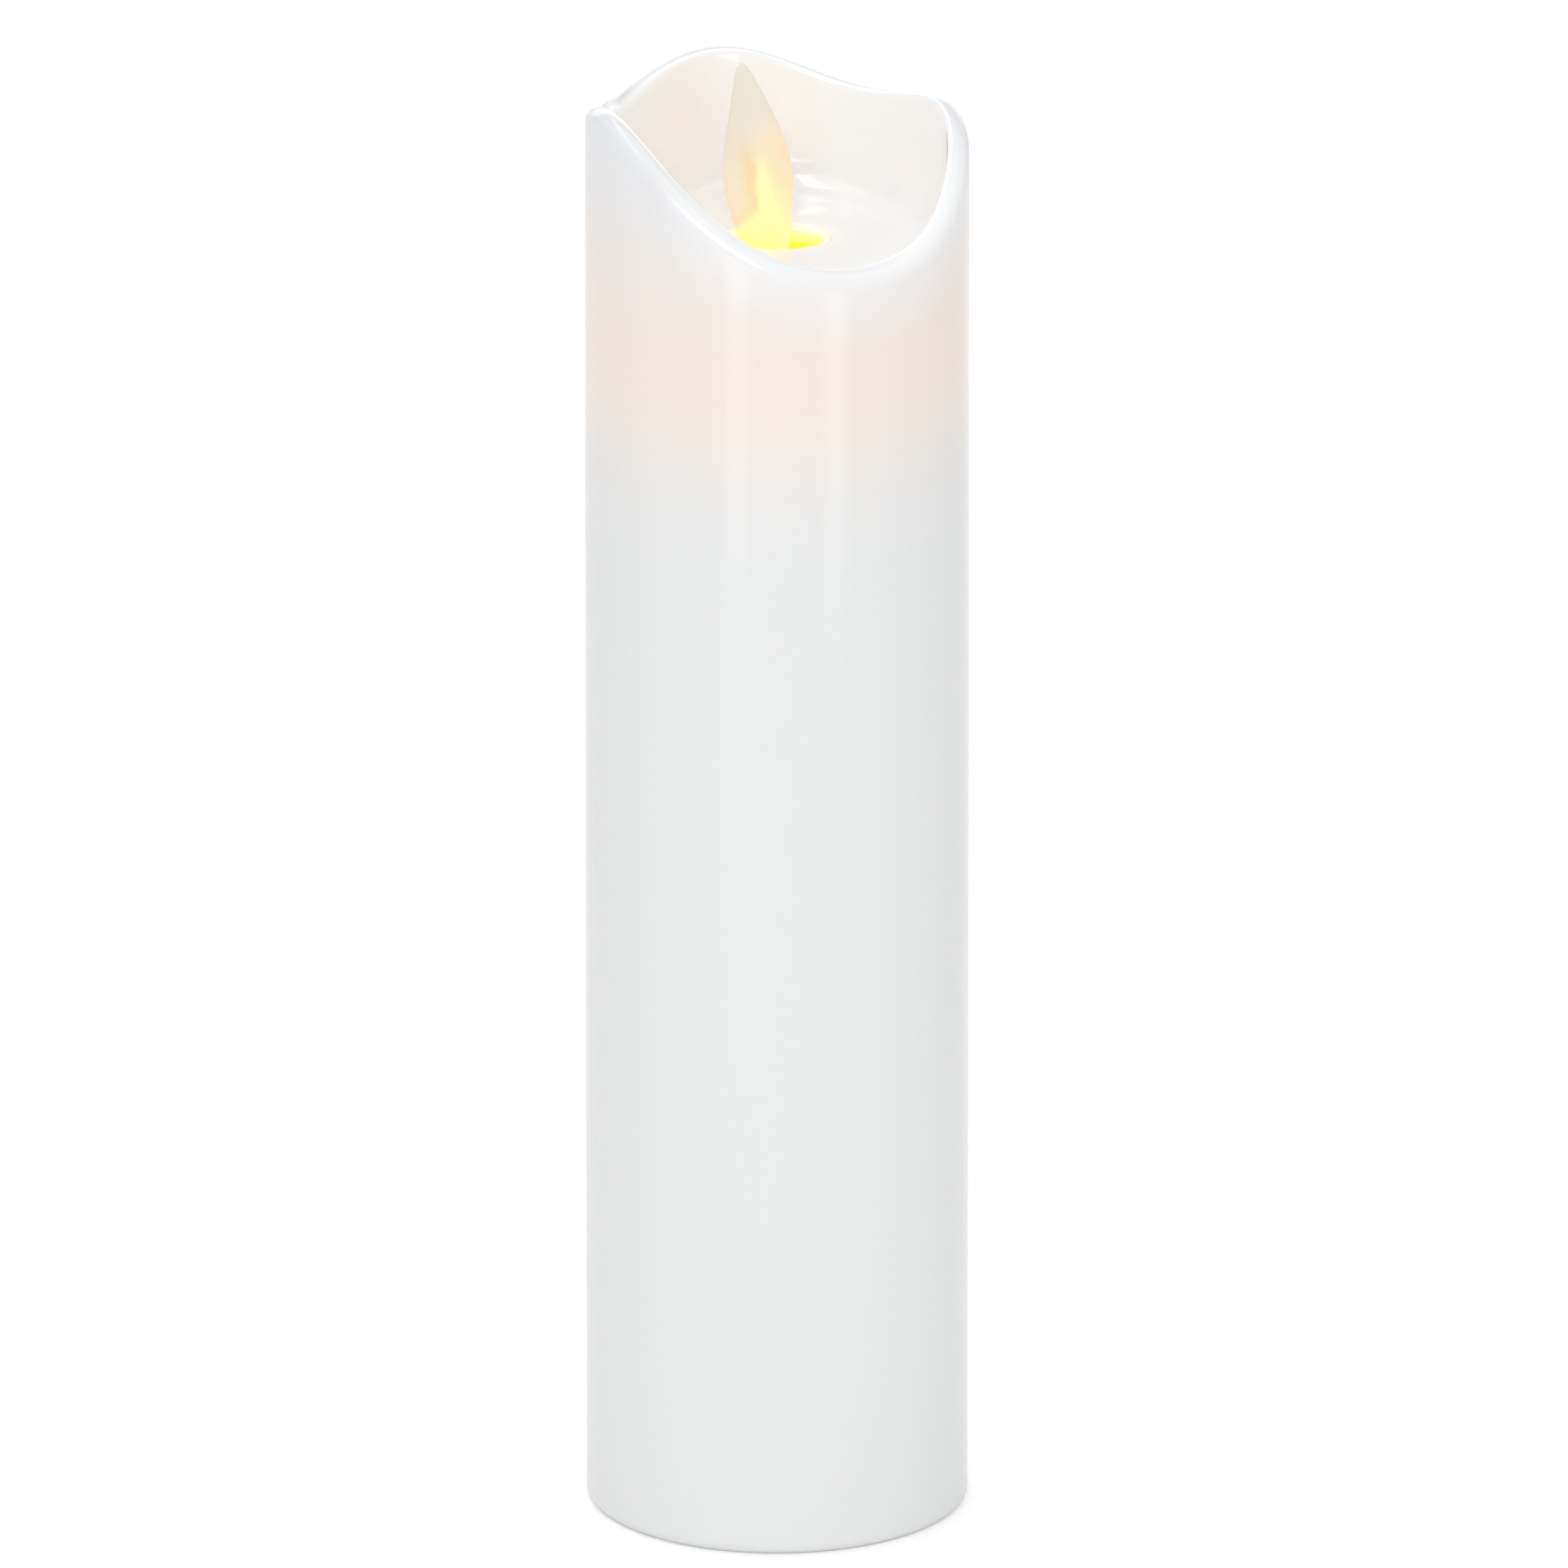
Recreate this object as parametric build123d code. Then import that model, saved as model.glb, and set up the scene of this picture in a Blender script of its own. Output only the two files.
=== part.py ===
from build123d import *

import cmath
import math
import os

# Flameless LED candle: a hollow wax pillar with a wavy melted rim, over a plastic core that
# carries a swinging flame paddle, its lamp and drive coil, a control board and two AA cells.
# Millimetres, +Z up, origin at the centre of the foot, -Y is the side the lowest rim faces.

# ---------------------------------------------------------------- driving dimensions
candle_diameter = 53.0
mean_rim_height = 197.2
dish_floor = 183.7
pivot_height = 172.2
flame_lean = -7.75  # degrees about +Y at rest: the flame stands part way through its swing
base_bottom = 2.5  # the plastic base sits this far up inside the foot
cell_diameter = 14.5
cell_length = 50.5

# ---------------------------------------------------------------- wax pillar
outer_radius = candle_diameter / 2
rim_wall = 3.0
dish_radius = outer_radius - rim_wall
dish_corner = 5.0
crown_radius = outer_radius - rim_wall * 0.4
rim_outer_round = 2.1
rim_inner_round = 0.7
foot_round = 1.5
bore_radius = 23.0
floor_thickness = 3.4
floor_underside = dish_floor - floor_thickness
# The rim height is a sum of waves round the pillar: order, height, angle of its peak in
# degrees, counted from the front (-Y) towards +X.
rim_waves = ((1, 7.19, -143.8), (2, 3.85, -65.2), (3, 2.01, -39.7), (4, 1.31, 19.6))
wave_fade = 0.1  # how slowly the waves die out towards the axis, inside the hollow

# ---------------------------------------------------------------- throat and core
throat_half_width = 7.5
throat_half_depth = 5.5
collar_gap = 0.15
collar_wall = 0.8
collar_flange = 0.8
opening_margin = 0.25  # how much wider than the collar's bore the openings below it are
core_radius = 22.7
core_wall = 1.5
collar_sink = 0.4  # its lip stands this far below the dish floor
core_top = floor_underside - collar_flange - 0.2
base_thickness = 3.0
base_top = base_bottom + base_thickness

# ---------------------------------------------------------------- mechanism case
case_half_width = 11.0
case_front = -13.0
case_back = 8.0
case_wall = 1.5
case_top = core_top - core_wall
case_bottom = 139.0
case_corner = 2.0
case_screw_places = ((-15.0, 146.0), (-15.0, 166.0), (10.0, 156.0))  # y, z
case_ear_radius = 2.2
case_ear_half = 6.0
top_screw_places = ((-8.2, 5.0), (8.2, 5.0), (-8.2, -10.2), (8.2, -10.2))
wire_radius = 0.25

# ---------------------------------------------------------------- drive coil
coil_bore = 2.1
coil_barrel = 3.0
coil_flange_radius = 6.2
coil_winding_radius = 5.8
coil_flange = 0.8
coil_height = 9.5
coil_top = case_bottom + case_wall + coil_height

# ---------------------------------------------------------------- lamp
lamp_foot = (5.0, -7.5, 160.5)
lamp_direction = (-6.0, 6.5, 31.5)
lamp_radius = 2.5
lamp_flange_radius = 2.9
lamp_flange = 1.0
lamp_length = 8.7
lead_spacing = 2.54
lead_radius = 0.25
lead_length = 9.0
lamp_wire_radius = 0.5

# ---------------------------------------------------------------- control board
board_radius = 19.0
board_flat = 17.0
board_thickness = 1.2
board_top = 132.2
board_bottom = board_top - board_thickness
post_radius = 2.6
post_places = ((-8.0, -2.5), (8.0, -2.5))

# ---------------------------------------------------------------- battery bay and base
cell_spacing = 15.2
cell_radius = cell_diameter / 2
cell_nub_radius = 2.75
cell_nub = 1.0
wrap_thickness = 0.25
wrap_inset = 0.6
contact_thickness = 0.3
contact_gap = 0.05
spring_wire = 0.3  # radius
spring_wide = 4.0
spring_narrow = 2.3
spring_turns = 3.25
spring_steps = 12  # bends in a turn
bay_half_width = 15.4
bay_half_depth = 7.8
bay_wall = 1.4
bay_corner = 4.0
rib_half = 0.7  # the ribs between the cells: half thickness, and where each ends
rib_gap = 4.6
door_top = 4.2
ledge = door_top + 0.1
door_half_depth = 8.4
door_end = 16.4
door_gap = 0.25
hinge_x = -15.6
hinge_z = (base_bottom + door_top) / 2
hinge_edge_radius = (door_top - base_bottom) / 2
hinge_pin_radius = 0.7
hinge_pin_length = 1.4
hinge_clearance = 0.05
spring_height = 4.1
door_contact_top = door_top + contact_thickness
left_cell_bottom = door_contact_top + spring_height
right_cell_bottom = door_contact_top + 0.35 + contact_gap
bay_ceiling = left_cell_bottom + cell_length + contact_gap + contact_thickness
bay_top = bay_ceiling + 1.6
tab_top = bay_top + 2.5
tab_y = 4.4
base_screw_places = ((0.0, -18.8), (-13.5, 13.1), (13.5, 13.1))
boss_radius = 2.6
boss_top = 14.0

# ---------------------------------------------------------------- slide switch
switch_y = 14.6
switch_half_width = 5.8
switch_half_depth = 2.5
switch_height = 4.2
switch_travel = 4.0
knob_half_width = 1.5
knob_half_depth = 1.1
knob_bottom = 1.0
terminal_spacing = 2.5
terminal_height = 3.0

# ---------------------------------------------------------------- flame paddle
sheet_thickness = 0.7
sheet_bow_radius = 9.0
stem_half_width = 1.3
eyelet_radius = 2.0
eyelet_half = 0.9
eyelet_bore = 0.33
magnet_radius = 3.0
magnet_height = 2.5
magnet_cup = 0.8
magnet_bottom = -21.0  # from the pivot
# The leaf's right and left edges, from the pivot upwards: reach from its middle line, height
# above the pivot. The left edge is the straighter one near the tip.
leaf_right = (
    (stem_half_width, 3.5),
    (2.4, 7.0),
    (3.55, 11.6),
    (4.6, 17.0),
    (4.95, 20.8),
    (4.6, 24.2),
    (3.65, 28.3),
    (2.05, 33.2),
    (1.0, 36.0),
)
leaf_left = (
    (-stem_half_width, 3.5),
    (-2.4, 7.0),
    (-3.6, 11.6),
    (-4.7, 16.8),
    (-4.75, 20.5),
    (-4.15, 24.2),
    (-3.05, 28.3),
    (-1.7, 33.2),
    (-0.75, 36.0),
)
leaf_tip = 37.0
lead_wire_radius = 0.65


# ---------------------------------------------------------------- shared shapes
def block(x0, x1, y0, y1, z0, z1):
    """A box between two corners."""
    centre = Pos((x0 + x1) / 2, (y0 + y1) / 2, (z0 + z1) / 2)
    return centre * Box(x1 - x0, y1 - y0, z1 - z0)


def rod(start, end, radius):
    """A round rod between two points."""
    start, end = Vector(*start), Vector(*end)
    foot = Plane(origin=start, z_dir=end - start)
    return extrude(foot * Circle(radius), (end - start).length)


def upright(x, y, z0, z1, radius):
    """A vertical cylinder."""
    return rod((x, y, z0), (x, y, z1), radius)


def oval(half_width, half_depth, z0, z1):
    """A vertical oval prism on the candle's axis."""
    return extrude(Plane.XY.offset(z0) * Ellipse(half_width, half_depth), z1 - z0)


def rounded_block(half_width, half_depth, corner, z0, z1):
    """A box with rounded upright edges, centred on the axis."""
    outline = RectangleRounded(2 * half_width, 2 * half_depth, corner)
    return extrude(Plane.XY.offset(z0) * outline, z1 - z0)


def bent_wire(points, radius):
    """A round wire along straight runs joined by the largest arcs that the runs allow."""
    corners = [Vector(*p) for p in points]
    bends = []
    for before, here, after in zip(corners, corners[1:], corners[2:]):
        turn = math.radians((here - before).get_angle(after - here))
        run = min((here - before).length, (after - here).length)
        bends.append(0.45 * run / math.tan(turn / 2))
    path = FilletPolyline(*corners, radius=bends)
    section = Plane(origin=path @ 0, z_dir=path % 0) * Circle(radius)
    return sweep(section, path=path)


def screw(head_radius, head_height, shaft_radius, length):
    """A pan-head screw with a cross recess: head below z = 0, shaft upwards."""
    head = Cylinder(head_radius, head_height, align=(Align.CENTER, Align.CENTER, Align.MAX))
    head = fillet(head.edges().group_by(Axis.Z)[0], head_height * 0.45)
    arm, depth = head_radius * 1.1, head_height * 0.5
    for turn in (0, 90):
        cut = Box(arm, head_radius * 0.26, depth, align=(Align.CENTER, Align.CENTER, Align.MIN))
        head -= Pos(0, 0, -head_height) * Rot(0, 0, turn) * cut
    shaft = upright(0, 0, 0, length - shaft_radius, shaft_radius)
    point = Pos(0, 0, length - shaft_radius) * Cone(
        shaft_radius, shaft_radius * 0.3, shaft_radius, align=(Align.CENTER, Align.CENTER, Align.MIN)
    )
    return head + shaft + point


def in_body_tilt(shape):
    """Places a shape that is modelled upright about the pivot at the flame's resting lean."""
    return Pos(0, 0, pivot_height) * Rot(0, flame_lean, 0) * shape


# ---------------------------------------------------------------- wax pillar
def rim_height(x, y):
    """Height of the melted edge above the foot at a point of the plan, nearly level across the wall."""
    reach, turn = cmath.polar(complex(-y, x))
    spread = (reach / crown_radius) ** 4
    fade = spread / (spread + wave_fade) * (1 + wave_fade)
    waves = [wave * math.cos(order * (turn - math.radians(peak))) for order, wave, peak in rim_waves]
    return mean_rim_height + fade * sum(waves)


def above_rim():
    """Everything above the wavy melted edge."""
    half, count = outer_radius + 2.5, 21
    steps = [half * (2 * i / (count - 1) - 1) for i in range(count)]
    grid = [[(x, y, rim_height(x, y)) for y in steps] for x in steps]
    surface = Face.make_surface_from_array_of_points(grid, tol=0.005, min_deg=3, max_deg=5)
    return Solid.extrude(surface, Vector(0, 0, 60))


def dish():
    """The hollow that the flame stands in: a flat floor with a round corner."""
    top = mean_rim_height + 30
    flat = dish_radius - dish_corner
    outline = (
        Line((0, dish_floor), (flat, dish_floor))
        + RadiusArc((flat, dish_floor), (dish_radius, dish_floor + dish_corner), -dish_corner)
        + Polyline(
            (dish_radius, dish_floor + dish_corner), (dish_radius, top), (0, top), (0, dish_floor)
        )
    )
    return revolve(Plane.XZ * make_face(outline), Axis.Z)


def rim_edges(shell, nearest, farthest):
    """The wavy edges that stay between two distances from the candle's axis."""

    def stays_between(edge):
        reach = [math.hypot((edge @ (i / 8)).X, (edge @ (i / 8)).Y) for i in range(9)]
        return min(reach) > nearest - 0.01 and max(reach) < farthest + 0.01

    return [e for e in shell.edges() if e.geom_type == GeomType.BSPLINE and stays_between(e)]


def wax_shell():
    """The cast wax pillar, open below for the core and pierced by the throat."""
    pillar = upright(0, 0, 0, mean_rim_height + 15, outer_radius)
    pillar = fillet(pillar.edges().group_by(Axis.Z)[0], foot_round)
    shell = pillar - dish() - above_rim()
    shell = fillet(rim_edges(shell, outer_radius, outer_radius), rim_outer_round)
    shell = fillet(rim_edges(shell, dish_radius - dish_corner, dish_radius), rim_inner_round)
    shell -= upright(0, 0, -1, floor_underside, bore_radius)
    return shell - oval(throat_half_width, throat_half_depth, floor_underside - 1, dish_floor + 1)


# ---------------------------------------------------------------- throat and core
collar_half_width = throat_half_width - collar_gap - collar_wall
collar_half_depth = throat_half_depth - collar_gap - collar_wall


def throat_opening(z0, z1):
    """The way for the flame through the plates under the throat collar."""
    return oval(collar_half_width + opening_margin, collar_half_depth + opening_margin, z0, z1)


def throat_collar():
    """The clear ring that lines the hole in the dish floor."""
    lip = dish_floor - collar_sink
    flange_top = core_top + collar_flange
    ring = oval(throat_half_width - collar_gap, throat_half_depth - collar_gap, core_top, lip)
    ring += oval(throat_half_width + 1.5, throat_half_depth + 1.5, core_top, flange_top)
    ring -= oval(collar_half_width, collar_half_depth, core_top - 1, lip + 1)
    return fillet(ring.edges().group_by(Axis.Z)[-1], 0.25)


def core_tube():
    """The plastic sleeve inside the wax, closed above by the plate that the case hangs from."""
    tube = upright(0, 0, base_top, core_top, core_radius)
    inside = upright(0, 0, base_top - 1, core_top - core_wall, core_radius - core_wall)
    bosses = [upright(x, y, base_top, boss_top, boss_radius) for x, y in base_screw_places]
    keep = upright(0, 0, base_top, boss_top, core_radius - core_wall / 2)
    tube = tube - inside + [boss & keep for boss in bosses]
    for x, y in base_screw_places:
        tube -= upright(x, y, base_top - 1, boss_top - 1, 1.07)
    tube -= throat_opening(core_top - core_wall - 1, core_top + 1)
    for x, y in top_screw_places:
        tube -= upright(x, y, core_top - core_wall - 1, core_top + 1, 1.05)
        tube -= Pos(x, y, core_top - 1.0) * Cone(
            1.05, 2.0, 1.0, align=(Align.CENTER, Align.CENTER, Align.MIN)
        )
    return tube


def top_screws():
    """Four countersunk screws that hold the mechanism case under the core's top plate."""
    screws = []
    for x, y in top_screw_places:
        head = Pos(x, y, core_top - 1.0) * Cone(
            1.0, 1.95, 0.95, align=(Align.CENTER, Align.CENTER, Align.MIN)
        )
        slot = Pos(x, y, core_top) * Box(2.4, 0.5, 0.9)
        screws.append(head + upright(x, y, core_top - 6.5, core_top - 1.0, 0.95) - slot)
    return screws


# ---------------------------------------------------------------- mechanism case
def mechanism_case():
    """Both halves of the case as one: walls, ears, posts, bosses and the openings."""
    middle = (case_front + case_back) / 2
    half_depth = (case_back - case_front) / 2
    outside = Pos(0, middle, 0) * rounded_block(
        case_half_width, half_depth, case_corner, case_bottom, case_top
    )
    inside = block(
        case_wall - case_half_width,
        case_half_width - case_wall,
        case_front + case_wall,
        case_back - case_wall,
        case_bottom + case_wall,
        case_top - case_wall,
    )
    case = outside - inside
    for y, z in case_screw_places:
        case += rod((-case_ear_half, y, z), (case_ear_half, y, z), case_ear_radius)
        near_wall = case_front + 0.5 if y < 0 else case_back - 0.5
        low, high = sorted((y, near_wall))
        case += block(
            -case_ear_half, case_ear_half, low, high, z - case_ear_radius, z + case_ear_radius
        )
    for x, y in top_screw_places:
        corner = upright(x, y, case_top - 6.5, case_top - case_wall / 2, 2.0)
        case += corner & Pos(0, middle, 0) * rounded_block(
            case_half_width - 0.5, half_depth - 0.5, case_corner, case_bottom, case_top
        )
        case -= upright(x, y, case_top - 5.5, case_top + 1, 0.97)
    for x, y in post_places:
        case += upright(x, y, board_top, case_bottom + case_wall / 2, post_radius)
        case -= upright(x, y, board_top - 1, case_bottom - 0.5, 0.82)
    case += upright(0, 0, case_bottom + case_wall / 2, case_bottom + case_wall + 3, coil_bore - 0.1)
    case -= throat_opening(case_top - case_wall - 1, case_top + 1)
    notch_ends = (0, case_front + 0.3, pivot_height), (0, case_back - 0.3, pivot_height)
    case -= rod(*notch_ends, wire_radius + 0.01)
    for lead_hole in ((4.2, 9.0, -11.2, -7.4), (-8.9, -7.5, 2.3, 5.1)):
        case -= block(*lead_hole, case_bottom - 1, case_bottom + case_wall + 1)
    return case


def case_half(side):
    """One half of the case, parted on the plane through the pivot wire. side is -1 or 1."""
    reach = 40
    low, high = (-reach, 0) if side < 0 else (0, reach)
    half = mechanism_case() & block(low, high, -reach, reach, board_top - 1, case_top + 1)
    for y, z in case_screw_places:
        if side < 0:
            half -= rod((-case_ear_half - 1, y, z), (1, y, z), 1.1)
            half -= rod((-case_ear_half - 1, y, z), (-case_ear_half + 1.2, y, z), 2.0)
        else:
            half -= rod((-1, y, z), (case_ear_half - 0.8, y, z), 0.92)
    return half


def case_screws():
    """Three screws that close the case from the left."""
    seat = -case_ear_half + 1.2
    return [
        Pos(seat, y, z) * Rot(0, 90, 0) * screw(1.8, 1.1, 0.9, case_ear_half * 2 - 2.6)
        for y, z in case_screw_places
    ]


def pivot_wire():
    """The steel wire that the paddle hangs on, clamped between the two case halves."""
    return rod((0, case_front + 0.4, pivot_height), (0, case_back - 0.4, pivot_height), wire_radius)


# ---------------------------------------------------------------- drive coil
def coil_bobbin():
    """The spool that stands on the case floor under the magnet."""
    foot = case_bottom + case_wall
    spool = upright(0, 0, foot, coil_top, coil_barrel)
    spool += upright(0, 0, foot, foot + coil_flange, coil_flange_radius)
    spool += upright(0, 0, coil_top - coil_flange, coil_top, coil_flange_radius)
    return spool - upright(0, 0, foot - 1, coil_top + 1, coil_bore)


def coil_winding():
    """The copper winding between the spool's flanges."""
    slack = 0.02
    low = case_bottom + case_wall + coil_flange + slack
    high = coil_top - coil_flange - slack
    winding = upright(0, 0, low, high, coil_winding_radius)
    return winding - upright(0, 0, low - 1, high + 1, coil_barrel + slack)


def coil_leads():
    """The winding's two enamelled ends, down through the case floor to the board."""
    leads = []
    for y, z in ((3.0, 143.0), (4.2, 144.5)):
        start = -math.sqrt(coil_winding_radius**2 - y**2) - 0.1
        leads.append(bent_wire([(start, y, z), (-8.2, y, z), (-8.2, y, board_top)], 0.12))
    return leads


# ---------------------------------------------------------------- lamp
lamp_plane = Plane(origin=lamp_foot, x_dir=(1, 0, 6.0 / 31.5), z_dir=lamp_direction)


def lamp():
    """The warm LED: a flanged round lens aimed up through the throat at the flame."""
    dome = lamp_length - lamp_radius
    lens = Cylinder(lamp_flange_radius, lamp_flange, align=(Align.CENTER, Align.CENTER, Align.MIN))
    lens += Cylinder(lamp_radius, dome, align=(Align.CENTER, Align.CENTER, Align.MIN))
    lens += Pos(0, 0, dome) * Sphere(lamp_radius)
    lens -= block(lamp_radius, lamp_radius + 1, -3, 3, -0.1, lamp_flange)
    return lamp_plane * lens


def lamp_holder():
    """The sleeve that grips the lamp above its flange, with its foot on the case's front wall."""
    sleeve = upright(0, 0, lamp_flange + 0.05, 5.2, lamp_radius + 1.0)
    x, y, z = lamp_foot
    foot = block(x - 2.0, x + 1.2, case_front + case_wall, y - 2.2, z + 1.2, z + 4.6)
    holder = lamp_plane * sleeve + foot
    holder -= lamp_plane * upright(0, 0, -1, 7, lamp_radius + 0.05)
    return holder - lamp_plane * upright(0, 0, -1, lamp_flange + 0.05, lamp_flange_radius + 0.1)


def lamp_leads():
    """The lamp's two tinned legs."""
    half = lead_spacing / 2
    return [lamp_plane * rod((x, 0, 0), (x, 0, -lead_length), lead_radius) for x in (-half, half)]


def lamp_wires():
    """Two insulated wires from the legs down to the board."""
    wires = []
    for x in (-lead_spacing / 2, lead_spacing / 2):
        start = lamp_plane.from_local_coords(Vector(x, 0, -lead_length))
        below = lamp_plane.from_local_coords(Vector(x, 0, -lead_length - 2.5))
        pad = (start.X - 0.4, -9.6)
        route = [tuple(start), tuple(below), (start.X, -9.3, 144.0), (*pad, 138.5), (*pad, board_top)]
        wires.append(bent_wire(route, lamp_wire_radius))
    return wires


# ---------------------------------------------------------------- control board
def circuit_board():
    """The round board under the case, with two flats and two screw holes."""
    board = upright(0, 0, board_bottom, board_top, board_radius)
    board &= block(-board_flat, board_flat, -board_radius, board_radius, board_bottom, board_top)
    for x, y in post_places:
        board -= upright(x, y, board_bottom - 1, board_top + 1, 1.1)
    return board


def control_chip():
    """The timer and flicker chip, with four legs a side."""
    chip = block(-2.0, 2.0, 3.5, 8.5, board_bottom - 1.7, board_bottom - 0.15)
    for side in (-1, 1):
        for step in range(4):
            y = 4.1 + 1.27 * step
            outer = side * 3.0
            low, high = sorted((side * 1.8, outer))
            chip += block(low, high, y - 0.2, y + 0.2, board_bottom - 0.9, board_bottom - 0.7)
            low, high = sorted((outer, outer - side * 0.25))
            chip += block(low, high, y - 0.2, y + 0.2, board_bottom - 0.9, board_bottom)
    return chip


def board_resistors():
    """Six chip resistors in two rows."""
    return [
        block(x - 1.0, x + 1.0, y - 0.6, y + 0.6, board_bottom - 0.55, board_bottom)
        for x in (7.0, 10.5)
        for y in (4.0, 7.0, 10.0)
    ]


def board_transistors():
    """The two transistors that drive the coil and the lamp."""
    parts = []
    for x, y in ((0.0, -6.5), (0.0, -12.5)):
        body = block(x - 1.45, x + 1.45, y - 0.65, y + 0.65, board_bottom - 1.1, board_bottom - 0.1)
        for leg, side in ((-0.95, 1), (0.95, 1), (0.0, -1)):
            low, high = sorted((y + side * 0.5, y + side * 1.2))
            body += block(x + leg - 0.2, x + leg + 0.2, low, high, board_bottom - 0.3, board_bottom)
        parts.append(body)
    return parts


def board_capacitor():
    """The reservoir capacitor, standing down from the board."""
    can = upright(-9.0, 8.5, board_bottom - 7.0, board_bottom, 2.5)
    return fillet(can.edges().group_by(Axis.Z)[0], 0.4)


def timer_crystal():
    """The small watch crystal that counts the timer's hours."""
    return upright(-3.5, 12.5, board_bottom - 6.0, board_bottom, 1.0)


def board_screws():
    """Two screws that hold the board to the case's posts."""
    return [Pos(x, y, board_bottom) * screw(1.8, 1.3, 0.8, 6.0) for x, y in post_places]


# ---------------------------------------------------------------- base and battery bay
def base_housing():
    """The base disc and the battery bay above it, in one moulding."""
    base = upright(0, 0, base_bottom, base_top, core_radius)
    walls = bay_half_width + bay_wall, bay_half_depth + bay_wall, bay_corner + bay_wall
    base += rounded_block(*walls, base_top, bay_top)
    bay = rounded_block(bay_half_width, bay_half_depth, bay_corner, ledge - 1, bay_ceiling)
    for low, high in ((-bay_half_depth - 1, -rib_gap), (rib_gap, bay_half_depth + 1)):
        bay -= block(-rib_half, rib_half, low, high, base_top, bay_ceiling + 1)
    base -= bay
    recess = block(
        hinge_x - hinge_edge_radius - 0.2,
        door_end + door_gap,
        -door_half_depth - door_gap,
        door_half_depth + door_gap,
        base_bottom - 1,
        ledge,
    )
    base -= fillet(recess.edges().filter_by(Axis.Z).group_by(Axis.X)[-1], 2.0)
    reach = door_half_depth + hinge_pin_length + 0.3
    socket = hinge_pin_radius + hinge_clearance
    base -= rod((hinge_x, -reach, hinge_z), (hinge_x, reach, hinge_z), socket)
    base -= Pos(door_end + 1.6, 0, base_bottom - 1.6) * Sphere(3.4)
    slot_half = switch_travel / 2 + knob_half_width + 0.1
    slot_low = switch_y - knob_half_depth - 0.2
    slot_high = switch_y + knob_half_depth + 0.2
    base -= block(-slot_half, slot_half, slot_low, slot_high, 0, base_top + 1)
    for side in (-1, 1):
        low, high = sorted((side * (switch_half_width + 0.1), side * (switch_half_width + 1.1)))
        base += block(low, high, switch_y - 2.0, switch_y + 2.0, base_top - 0.5, base_top + 3.0)
    for x, y in base_screw_places:
        base -= upright(x, y, base_bottom - 1, base_bottom + 1.4, 2.35)
        base -= upright(x, y, base_bottom - 1, base_top + 1, 1.15)
    for x in (-cell_spacing / 2, cell_spacing / 2):
        base -= block(x - 1.6, x + 1.6, tab_y - 0.2, tab_y + 0.5, bay_ceiling - 1, bay_top + 1)
    return base - switch_marks()


def switch_marks():
    """Shallow moulded signs for on, off and timer beside the switch: a bar, a ring, a clock."""
    sunk = 0.25
    y = switch_y - 3.4
    bar = block(-4.8, -4.4, y - 0.9, y + 0.9, base_bottom - 1, base_bottom + sunk)
    marks = [bar]
    for x in (0.0, 4.6):
        ring = upright(x, y, base_bottom - 1, base_bottom + sunk, 0.95)
        marks.append(ring - upright(x, y, base_bottom - 2, base_bottom + 1, 0.6))
    marks.append(block(4.5, 4.7, y, y + 0.7, base_bottom - 1, base_bottom + sunk))
    return marks


def base_screws():
    """Three screws that hold the base in the core tube."""
    seat = base_bottom + 1.4
    return [Pos(x, y, seat) * screw(2.1, 1.2, 1.05, 8.5) for x, y in base_screw_places]


def cell_places():
    """Each cell as x, lowest point, and whether its nub points up."""
    half = cell_spacing / 2
    return {"left": (-half, left_cell_bottom, True), "right": (half, right_cell_bottom, False)}


def cell_can(side):
    """One AA cell: its steel can and the nub at its positive end."""
    x, low, nub_up = cell_places()[side]
    body_low = low if nub_up else low + cell_nub
    body_high = body_low + cell_length - cell_nub
    can = upright(x, 0, body_low, body_high, cell_radius - wrap_thickness - 0.02)
    can = fillet(can.edges().filter_by(GeomType.CIRCLE), 0.5)
    nub_from = body_high - 0.1 if nub_up else low
    nub = upright(x, 0, nub_from, nub_from + cell_nub + 0.1, cell_nub_radius)
    tip = nub.edges().group_by(Axis.Z)[-1 if nub_up else 0]
    return can + fillet(tip, 0.4)


def cell_wrap(side):
    """The printed film round one AA cell."""
    x, low, nub_up = cell_places()[side]
    low += wrap_inset if nub_up else cell_nub + wrap_inset
    high = low + cell_length - cell_nub - 2 * wrap_inset
    wrap = upright(x, 0, low, high, cell_radius)
    return wrap - upright(x, 0, low - 1, high + 1, cell_radius - wrap_thickness)


def top_contact(x):
    """A contact plate under the bay's ceiling, with its solder tab through the slot."""
    low = bay_ceiling - contact_thickness
    plate = block(x - 4.5, x + 4.5, -4.5, tab_y + contact_thickness, low, bay_ceiling)
    return plate + block(x - 1.4, x + 1.4, tab_y, tab_y + contact_thickness, low, tab_top)


def cone_spring(height):
    """A conical contact spring that narrows upwards, its lowest point at z = 0."""
    steps = round(spring_turns * spring_steps)
    route = []
    for i in range(steps + 1):
        turned = 2 * math.pi * i / spring_steps
        reach = spring_wide + (spring_narrow - spring_wide) * i / steps
        rise = spring_wire + (height - 2 * spring_wire) * i / steps
        route.append((reach * math.cos(turned), reach * math.sin(turned), rise))
    return bent_wire(route, spring_wire)


def negative_spring():
    """The spring that presses on the right-hand cell's flat end."""
    ceiling = bay_ceiling - contact_thickness - 0.03
    room = ceiling - (right_cell_bottom + cell_length) - contact_gap
    return Pos(cell_spacing / 2, 0, ceiling) * Rot(180, 0, 0) * cone_spring(room)


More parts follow.
